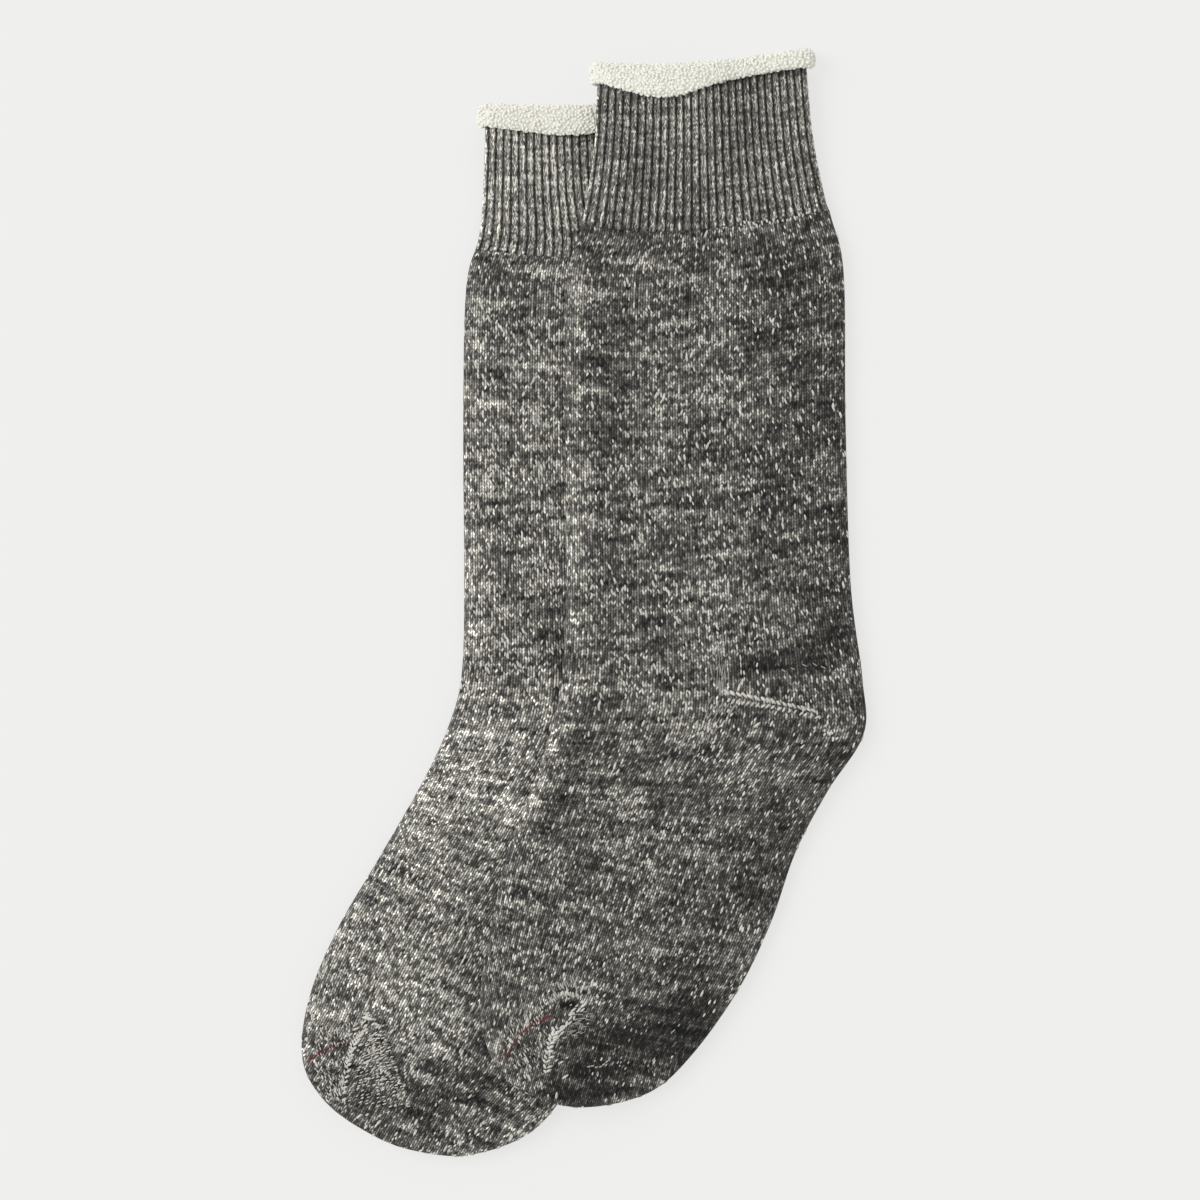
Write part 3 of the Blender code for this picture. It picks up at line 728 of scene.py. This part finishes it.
class Shader:
    """A material's nodes, put together with short calls."""

    def __init__(self, name, **values):
        self.material = bpy.data.materials.new(name)
        self.material.use_nodes = True
        self.tree = self.material.node_tree
        self.principled = self.tree.nodes["Principled BSDF"]
        values = {"Metallic": 0.0, "Specular_IOR_Level": 0.1, **values}
        for key, value in values.items():
            self.principled.inputs[key.replace("_", " ")].default_value = value

    def node(self, kind, inputs, out=0, **settings):
        """A node with its inputs set or linked; gives one of its outputs."""
        made = self.tree.nodes.new("ShaderNode" + kind)
        for key, value in settings.items():
            setattr(made, key, value)
        for key, value in inputs.items():
            if isinstance(value, bpy.types.NodeSocket):
                self.tree.links.new(value, made.inputs[key])
            else:
                made.inputs[key].default_value = value
        return made.outputs[out]

    def math(self, operation, first, second=0.0, third=0.0):
        """A Math node."""
        return self.node("Math", {0: first, 1: second, 2: third}, operation=operation)

    def times(self, first, second):
        """One value times another."""
        return self.math("MULTIPLY", first, second)

    def line(self, value, slope, base):
        """A value times a slope, and a base added."""
        return self.math("MULTIPLY_ADD", value, slope, base)

    def vector(self, x, y, z=0.0):
        """Three values as a vector."""
        return self.node("CombineXYZ", {"X": x, "Y": y, "Z": z})

    def noise(self, place, scale=1.0, detail=1.0, dimensions="3D"):
        """A Noise Texture's value."""
        inputs = {"Vector": place, "Scale": scale, "Detail": detail}
        return self.node("TexNoise", inputs, noise_dimensions=dimensions)

    def arch(self, value, power):
        """From 0 over 1 to 0 again as the value goes from 0 to 1, squarer with a higher power."""
        off = self.math("ABSOLUTE", self.line(value, 2.0, -1.0))
        return self.math("SUBTRACT", 1.0, self.math("POWER", off, power))

    def ramp(self, value, stops):
        """A colour ramp through (place, colour) stops."""
        made = self.node("ValToRGB", {"Fac": value})
        points = made.node.color_ramp.elements
        while len(points) < len(stops):
            points.new(0.5)
        for point, (place, colour) in zip(points, stops):
            point.position = place
            point.color = (*colour, 1.0)
        return made

    def finish(self, colour, height, distance):
        """Links the colour and the bump, and gives the material."""
        bump = self.node("Bump", {"Strength": 1.0, "Distance": distance, "Height": height})
        self.tree.links.new(colour, self.principled.inputs["Base Color"])
        self.tree.links.new(bump, self.principled.inputs["Normal"])
        return self.material


MARL = (
    (0.00, (0.009, 0.009, 0.009)),
    (0.22, (0.037, 0.035, 0.032)),
    (0.46, (0.103, 0.098, 0.089)),
    (0.70, (0.275, 0.265, 0.237)),
    (0.92, (0.730, 0.705, 0.625)),
)
# Painted light and shade over a rib's width, from the middle of one hollow to the next: dark in the
# hollows, lit more on one side
RIB_LIGHT = (
    (0.00, 0.04), (0.12, 0.12), (0.22, 0.55), (0.30, 1.00), (0.44, 1.00),
    (0.54, 0.52), (0.82, 0.44), (0.92, 0.12), (1.00, 0.04),
)


def marl(name, ribbed):
    """The marled knit: half stitches of grey and cream yarn on the wales and courses."""
    s = Shader(name, Roughness=0.95, Sheen_Weight=0.08, Sheen_Roughness=0.6)
    split = s.node("SeparateXYZ", {0: s.node("UVMap", {}, "UV", uv_map="Knit")}).node
    wale, course = split.outputs["X"], split.outputs["Y"]
    shade = s.node("Attribute", {}, "Fac", attribute_name="Shade")
    space = s.node("TexCoord", {}, "Object")
    # Where a point lies in its half stitch, which leans to the left or right by turns
    half = s.times(wale, 4.0 if ribbed else 2.0)
    column = s.math("FLOOR", half)
    across = s.math("FRACT", half)
    slant = s.line(s.math("MODULO", column, 2.0), -1.5, 0.75)
    lean = s.times(s.math("SUBTRACT", across, 0.5), slant)
    rows = s.times(course, 1.5) if ribbed else course
    spiral = s.line(wale, -SPIRAL, rows)
    run = s.math("ADD", spiral, lean)
    row = s.math("FLOOR", run)
    along = s.math("FRACT", run)
    # The yarn's tone: stitches, streaks, slubs, bands and clouds, and a few bright stitches
    grain = s.node("TexWhiteNoise", {"Vector": s.vector(column, row)}, noise_dimensions="2D")
    spot = s.node("TexWhiteNoise", {"Vector": s.vector(row, column)}, noise_dimensions="2D")
    streaks = s.vector(s.times(column, 3.71), s.times(run, 0.30))
    slubs = s.vector(s.times(wale, 0.17), s.times(row, 1.37))
    bands = s.vector(s.times(wale, 0.09), s.times(spiral, 0.30), 4.0)
    layers = (
        (s.noise(streaks, dimensions="2D"), 0.60),
        (s.noise(slubs, dimensions="2D"), 0.35 if ribbed else 0.45),
        (s.noise(bands, detail=2.0), 0.50 if ribbed else 0.85),
        (s.noise(space, 38.0, 3.0), 0.35),
    )
    tone = s.line(grain, 0.50, 0.25)
    for layer, weight in layers:
        tone = s.line(s.math("SUBTRACT", layer, 0.5), weight, tone)
    tone = s.line(s.math("GREATER_THAN", spot, 0.95), 0.28, tone)
    # Painted light and shade on it: each half stitch is a rounded strand, darker at its edges and
    # ends, and a rib is lit on one side
    ends = s.line(s.arch(along, 3.5), 0.75, 0.25)
    strand = s.times(s.arch(across, 2.2), ends)
    light = s.line(strand, 0.9 if ribbed else 1.40, 0.5 if ribbed else 0.22)
    if ribbed:
        stops = [(place, (level,) * 3) for place, level in RIB_LIGHT]
        profile = s.ramp(s.math("FRACT", s.times(wale, 0.5)), stops)
        tone = s.math("ADD", tone, 0.07)
        light = s.times(light, s.times(profile, 2.65))
    fibre = s.noise(space, 2600.0, 2.0)
    light = s.times(light, s.line(fibre, 0.8, 0.6))
    # The table's painted light and shade, carried by the Shade attribute
    light = s.times(light, shade)
    colour = s.ramp(tone, MARL)
    scaled = s.node("VectorMath", {0: colour, "Scale": light}, operation="SCALE")
    return s.finish(scaled, s.line(fibre, 0.25, strand), 0.0005)


def cream(name, colour, dark, scale):
    """Cream yarn, a little uneven from stitch to stitch."""
    s = Shader(name, Roughness=0.9, Sheen_Weight=0.3, Sheen_Roughness=0.5)
    space = s.node("TexCoord", {}, "Object")
    fibre = s.noise(space, 3000.0, 2.0)
    tone = s.line(fibre, 0.3, s.times(s.noise(space, scale, 2.0), 0.7))
    return s.finish(s.ramp(tone, ((0.25, dark), (0.65, colour))), fibre, 0.0003)


# The pair


def hidden_by(sock):
    """A test for points of the plan that lie well under a sock."""
    points = np.vstack(outside(sock, 400, sock.tip - 0.3, 300))[:, :2]
    low = points.min(axis=0) - 20
    cells = ((points - low) / MAP_CELL).round().astype(int)
    grid = np.zeros(cells.max(axis=0) + 12, bool)
    grid[cells[:, 0], cells[:, 1]] = True
    inside = np.min([np.roll(grid, shift, axis=(0, 1)) for shift in disc(5)], axis=0)

    def test(x, y):
        at = ((np.stack([x, y], axis=-1) - low) / MAP_CELL).round().astype(int)
        at = np.clip(at, 0, np.array(grid.shape) - 1)
        return inside[at[..., 0], at[..., 1]]

    return test


def flecks(name, sock, surface, covered, material):
    """Cream stitches scattered over the knit, more of them in some rows."""
    seed = sock.seed + 1
    rng = np.random.default_rng(seed)
    first, final = int(surface.courses[0]) + 1, int(surface.courses[-1]) - 1
    columns, rows = np.meshgrid(np.arange(2 * WALES), np.arange(first, final, FLECK_ROWS))
    wale = (columns.ravel() + 0.5) / 2
    course = rows.ravel() + rng.uniform(0, FLECK_ROWS, wale.size)
    line = course - SPIRAL * wale
    rich = 0.8 * uneven(wale * 1.3, line * 7.0, seed)
    chance = np.exp(rich + 0.5 * uneven(wale * 0.8, line * 2.0, seed + 1))
    centre, out, along, across, area = surface.at(wale, course)
    light = shade_of(sock.light_and_shade, centre, sock.base, out[:, 2] < 0)
    share = np.clip(area / np.median(area), 0, 1.2)
    # Fewer flecks where the table paints shade, more where it paints light
    chance *= FLECK_DENSITY * share * np.clip(0.85 * light**1.3, 0.06, 1.4)
    edge = np.abs(0.5 - (wale / WALES) % 1)
    chance *= np.clip((edge / sock.bare - 0.3) / 0.7, 0.15, 1)
    keep = rng.random(wale.size) < chance
    keep &= ~covered(centre[:, 0], centre[:, 1])
    keep &= ~((out[:, 2] < -0.3) & (centre[:, 2] > 2.5))
    centre, out, along, across, course = (a[keep] for a in (centre, out, along, across, course))
    count = len(centre)
    slant = np.where(rng.random(count) < 0.8, 1.0, -1.0) * rng.uniform(0.05, 0.45, count)
    slant *= np.clip(1.3 - (course - sock.course(HEEL_ROW)) / 30, 0.25, 1.0)
    long = unit(along + across * slant[:, None])
    grow = rng.uniform(0, 1, count) ** 1.8
    size = np.stack([least + (most - least) * grow for least, most in FLECK_SIZES], axis=1)
    size[:, 0] *= rng.uniform(0.8, 1.2, count)
    return beads(name, centre + out * 0.1, long, out, size, material)


def rows_of(strokes, yarn, rng):
    """The stitches of the rows in one yarn: places, angles and sizes."""
    found = []
    for place, *line, spread, count, degrees, fan, long, wide in strokes.get(yarn, ()):
        path = np.reshape(line, (-1, 2))
        tidy = spread < 0.4
        loose = 0.15 if tidy else 3.0 if spread > 1 else 0.35
        share = np.arange(count) + 0.5 + rng.uniform(-loose, loose, count)
        share = np.clip(share / count, 0, 1)
        places = smooth(path, 2 * share)
        ahead = unit(smooth(path, 2 * share + 0.02) - places)
        across = np.stack([-ahead[:, 1], ahead[:, 0]], axis=1)
        places = places + across * rng.normal(0, spread, count)[:, None]
        turned = 6 if tidy or yarn == "strand" else 12
        angles = degrees + fan * (share - 0.5) + rng.normal(0, turned, count)
        length = long * rng.uniform(0.85 if tidy else 0.6, 1.15, count)
        width = wide * rng.uniform(0.85, 1.15, count)
        found.append((places, angles, length, width))
    return found


def fields_of(fields, yarn, rng):
    """The stitches of the fields in one yarn: both yarns draw alike, each keeps its own share."""
    found = []
    for place, near, far, rows, pitch, first, last, long, wide, keep, light in fields:
        low, high = (0, keep * light) if yarn == "fleck" else (keep * light, keep)
        near, far = np.array(near), np.array(far)
        for k, share in enumerate(np.linspace(0, 1, rows)):
            start, end = near * (1 - share) + far * share
            count = max(2, int(np.linalg.norm(end - start) / pitch))
            along = ((np.arange(count) + 0.25 + 0.5 * (k % 2)) / count)[:, None]
            places = start + (end - start) * along + rng.normal(0, 0.22, (count, 2))
            angles = first + (last - first) * share + rng.normal(0, 7, count)
            length = long * rng.uniform(0.75, 1.15, count)
            width = wide * rng.uniform(0.85, 1.15, count)
            chance = rng.random(count)
            mine = (chance >= low) & (chance < high)
            found.append((places[mine], angles[mine], length[mine], width[mine]))
    return found


def stitches(name, surface, strokes, fields, yarn, seed, material):
    """The rows and fields of stitches in one yarn, on the top panel."""
    found = rows_of(strokes, yarn, np.random.default_rng(surface.sock.seed + seed))
    if yarn != "thread":
        found += fields_of(fields, yarn, np.random.default_rng(surface.sock.seed + 7))
    plan, angles, length, width = (np.concatenate(parts) for parts in zip(*found))
    angles = np.radians(angles)
    centre, out = surface.on_top(plan)
    long = np.stack([np.cos(angles), np.sin(angles), np.zeros(len(angles))], axis=1)
    long = unit(long - out * (long * out).sum(axis=1)[:, None])
    sizes = np.stack([length, width, np.full(len(angles), STITCH_HALF)], axis=1)
    return beads(name, centre + out * 0.14, long, out, sizes, material)


def pile(name, rings, seed, material):
    """The looped pile, on the side of the roll that shows."""
    rng = np.random.default_rng(seed)
    shown = rings[:, :ROLL_SHOWS]
    low, beside = shown[:, :-1], np.roll(shown, -1, axis=0)[:, :-1]
    down_way, ahead = shown[:, 1:] - low, beside - low
    area = np.linalg.norm(np.cross(down_way, ahead), axis=2).ravel()
    tries = int(area.sum() * 6 / PILE_PITCH**2)
    cell = rng.choice(len(area), tries, p=area / area.sum())
    s, t = rng.random((2, tries, 1))
    flat = [array.reshape(-1, 3)[cell] for array in (low, down_way, ahead)]
    points = flat[0] + flat[1] * s + flat[2] * t
    kept = []
    for k, point in enumerate(points):
        if not kept or ((points[kept] - point) ** 2).sum(axis=1).min() > (0.8 * PILE_PITCH) ** 2:
            kept.append(k)
    count = len(kept)
    out = unit(np.cross(flat[1][kept], flat[2][kept]))
    side = unit(flat[2][kept])
    turn = rng.uniform(0, math.pi, count)[:, None]
    long = side * np.cos(turn) + np.cross(out, side) * np.sin(turn)
    sizes = np.stack([rng.uniform(*limits, count) for limits in PILE_SIZES], axis=1)
    centres = points[kept] + out * rng.uniform(-0.3, 0.3, (count, 1))
    return beads(name, centres, long, out, sizes, material)


def roll_cloth(name, rings, material):
    """The rolled edge's own cloth."""
    cloth = Cloth()
    ids = closed(cloth.add_points(rings))
    ids = np.vstack([ids, ids[:1]])
    rows, columns = ids.shape
    bake = crossed(np.linspace(0.01, 0.99, columns), np.linspace(0.01, 0.99, rows))
    cloth.add_grid(ids, np.concatenate([bake * (columns, rows), bake], axis=-1), flip=True)
    return cloth.make(name, material)


def no_cover(x, y):
    """Nothing lies over the upper sock."""
    return np.zeros(np.shape(x), bool)


def leg_knit(name, sock, material):
    """The leg and foot in plain knit, and its outside to set stitches on."""
    top = np.linspace(0, 0.5, TOP_COLUMNS, endpoint=False)
    shares = np.concatenate([top, np.linspace(0.5, 1, UNDER_COLUMNS, endpoint=False)])
    start = sock.beyond(RIB_END, sock.rib_more + JOIN)
    rows = sock.rows_between(start, sock.tip, LEG_RINGS)[:-1]
    last = sock.lengths[-1] - sock.reach(rows[-1])
    rows = np.append(rows, sock.beyond(rows[-1], last * 0.7))
    outer = np.array([sock.leg_ring(at, 0, shares) for at in rows])
    inner_rows = [at for at in rows[::7] if sock.beyond(at, LEG_WALL + 2) < sock.tip - 0.01]
    inner = np.array([sock.leg_ring(at, LEG_WALL, shares) for at in inner_rows])
    past = inner[-1].mean(axis=0) * 1.3 - inner[-2].mean(axis=0) * 0.3
    tips = [sock.leg_ring(sock.tip, 0, shares[::24]).mean(axis=0), past]
    knit = knit_layout(sock, outer, rows, shares)
    shades = shade_of(sock.light_and_shade, outer, sock.base, shares[None] > 0.5)
    in_knit = sock.knit(shares, inner_rows)
    leg = tube(name, outer, inner, knit, in_knit, shades, material, tips)
    return leg, Surface(sock, outer, rows, shares)


def rib_knit(name, sock, material):
    """The cuff in one by one rib."""
    shares = np.linspace(0, 1, 8 * RIB_COUNT, endpoint=False)
    rows = np.linspace(0, sock.beyond(RIB_END, sock.rib_more - JOIN), RIB_RINGS)
    outer = np.array([sock.rib_ring(at, 0, shares) for at in rows])
    inner_rows = np.linspace(0, rows[-1], 9)
    inner = np.array([sock.rib_ring(at, RIB_WALL, shares) for at in inner_rows])
    knit, in_knit = sock.knit(shares, rows), sock.knit(shares, inner_rows)
    shades = shade_of(sock.light_and_shade, outer, sock.base * 1.1, shares[None] > 0.5)
    return tube(name, outer, inner, knit, in_knit, shades, material)


# Each kind of placed stitches: the end of its piece's name, its yarn and its seed
PLACED = (
    ("_light_stitches", "fleck", 2),
    ("_strands", "strand", 4),
    ("_linking_thread", "thread", 3),
)


def build_pair():
    """Makes both socks, attaches their pieces and hides the solids that they stand for."""
    lower = Sock(
        LOWER_ROWS, LOWER_ROLL, LOWER_CREASES, LOWER_LIGHT_AND_SHADE, LOWER_TURNS, flat_ground,
        base=1.17, rib_more=5.6, bare=0.018, seed=11,
    )
    upper = Sock(
        UPPER_ROWS, UPPER_ROLL, UPPER_CREASES, UPPER_LIGHT_AND_SHADE, UPPER_TURNS, lie_over(lower),
        base=0.87, rib_more=0.0, bare=0.05, seed=23,
    )
    plain, ribbed = marl("marl_knit", False), marl("marl_rib", True)
    loop_yarn = cream("cream_pile", (0.98, 0.97, 0.90), (0.89, 0.88, 0.79), 1400.0)
    # A darker cream for the cloth under the loops: painted shade between them
    ground = cream("pile_shaded_ground", (0.82, 0.81, 0.72), (0.70, 0.69, 0.60), 900.0)
    yarns = {
        "fleck": cream("cream_fleck", (0.81, 0.79, 0.715), (0.43, 0.41, 0.37), 260.0),
        "strand": cream("grey_strand", (0.50, 0.49, 0.45), (0.22, 0.21, 0.195), 400.0),
        "thread": cream("linking_thread", (0.20, 0.026, 0.028), (0.08, 0.012, 0.012), 700.0),
    }
    below = ["lower_sock_leg_knit", "lower_sock_rib_knit"]
    plans = (
        ("lower_sock", lower, hidden_by(upper), LOWER_STROKES, LOWER_FIELDS, 0.0145, []),
        ("upper_sock", upper, no_cover, UPPER_STROKES, UPPER_FIELDS, 0.0165, below),
    )
    for name, sock, covered, strokes, fields, strip, under in plans:
        leg, surface = leg_knit(name + "_leg_knit", sock, plain)
        rib = rib_knit(name + "_rib_knit", sock, ribbed)
        rings = sock.roll_rings(ROLL_RINGS)
        roll = roll_cloth(name + "_roll_cloth", rings, ground)
        loops = pile(name + "_roll_pile", rings, sock.seed + 5, loop_yarn)
        worked = [flecks(name + "_flecks", sock, surface, covered, yarns["fleck"])]
        for end, yarn, seed in PLACED:
            worked.append(stitches(name + end, surface, strokes, fields, yarn, seed, yarns[yarn]))
        for piece in (leg, rib, roll, loops, *worked):
            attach(piece, "root")
        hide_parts(name + "_leg_foot")
        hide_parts(name + "_rib_cuff")
        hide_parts(name + "_rolled_edge")


def camera():
    """Looks straight down at the pair, as the photograph does."""
    data = bpy.data.cameras.new("camera")
    data.lens = LENS
    data.sensor_width = SENSOR
    obj = placed("camera", data)
    obj.location = CAMERA_AT
    bpy.context.scene.camera = obj


def studio():
    """The pale floor and soft light."""
    mesh = bpy.data.meshes.new("floor")
    mesh.from_pydata(FLOOR, [], [(0, 1, 2, 3)])
    glow = {"Emission_Color": FLOOR_GLOW, "Emission_Strength": 1.0}
    mesh.materials.append(Shader("floor", Base_Color=FLOOR_COLOUR, Roughness=0.9, **glow).material)
    placed("floor", mesh)
    world = bpy.data.worlds.new("studio")
    world.use_nodes = True
    sky = world.node_tree.nodes["Background"].inputs
    sky["Color"].default_value = (1.0, 1.0, 1.0, 1.0)
    sky["Strength"].default_value = SKY_STRENGTH
    bpy.context.scene.world = world
    bpy.context.scene.view_settings.view_transform = "Standard"
    data = bpy.data.lights.new("key", "SUN")
    data.energy = SUN_STRENGTH
    data.angle = math.radians(SUN_WIDTH)
    placed("key", data).rotation_euler = [math.radians(degrees) for degrees in SUN_TILT]


camera()
build_pair()
studio()
